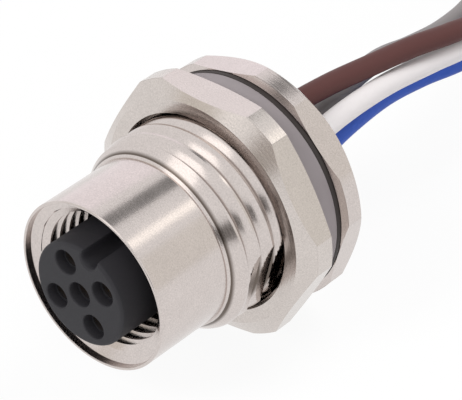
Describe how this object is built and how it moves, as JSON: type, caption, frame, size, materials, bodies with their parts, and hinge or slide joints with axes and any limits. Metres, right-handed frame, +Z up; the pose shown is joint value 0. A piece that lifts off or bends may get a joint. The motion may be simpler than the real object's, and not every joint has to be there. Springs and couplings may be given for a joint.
{
  "type": "m12 connector",
  "caption": "M12 socket for a panel with a hexagon nut, flat gasket, sealing ring and five loose leads.",
  "frame": {"origin": "centre of the bottom of the socket's box, under the axis, on the surface it lies on", "axes": "+Z up, -Y out of the mating face along the connector's axis, +X to the right seen from the front"},
  "size_m": [0.026, 0.0897, 0.02],
  "materials": {
    "nickel_plated_brass": "turned and nickel plated",
    "nickel_plated_nut": "milled, nickel plated",
    "gasket_rubber": "matt grey",
    "seal_rubber": "matt black",
    "socket_seal": "matt",
    "insert_plastic": "moulded, fine matt",
    "gold_plated_contact": "gold plated",
    "potting_resin": "cast, glossy",
    "pvc_brown": "extruded",
    "pvc_white": "extruded",
    "pvc_blue": "extruded",
    "pvc_black": "extruded",
    "pvc_grey": "extruded",
    "tinned_copper": "tinned strands",
    "tie_nylon": "moulded"
  },
  "bodies": {
    "socket": {"housing": "nickel_plated_brass", "seal_ring": "seal_rubber", "insert": "insert_plastic", "insert_seal": "socket_seal", "contact_1": "gold_plated_contact", "contact_2": "gold_plated_contact", "contact_3": "gold_plated_contact", "contact_4": "gold_plated_contact", "contact_5": "gold_plated_contact", "potting": "potting_resin", "lead_brown": "pvc_brown", "lead_white": "pvc_white", "lead_blue": "pvc_blue", "lead_black": "pvc_black", "lead_grey": "pvc_grey", "end_brown": "tinned_copper", "end_white": "tinned_copper", "end_blue": "tinned_copper", "end_black": "tinned_copper", "end_grey": "tinned_copper", "lead_coil": "pvc_grey", "coil_tie": "tie_nylon"},
    "gasket": {"flat_gasket": "gasket_rubber"},
    "nut": {"hex_nut": "nickel_plated_nut"}
  },
  "joints": [
    {"name": "nut_turn", "type": "hinge", "parent": "socket", "child": "gasket", "pos_m": [0, 0.0063, 0.01], "axis": [0, -1, 0], "range_deg": [0, 1800]},
    {"name": "nut_advance", "type": "slide", "parent": "gasket", "child": "nut", "axis": [0, -1, 0], "range_m": [0, 0.0075]}
  ],
  "couplings": [
    {"joint": "nut_advance", "follows": "nut_turn", "m_per_rad": 0.00023873}
  ]
}
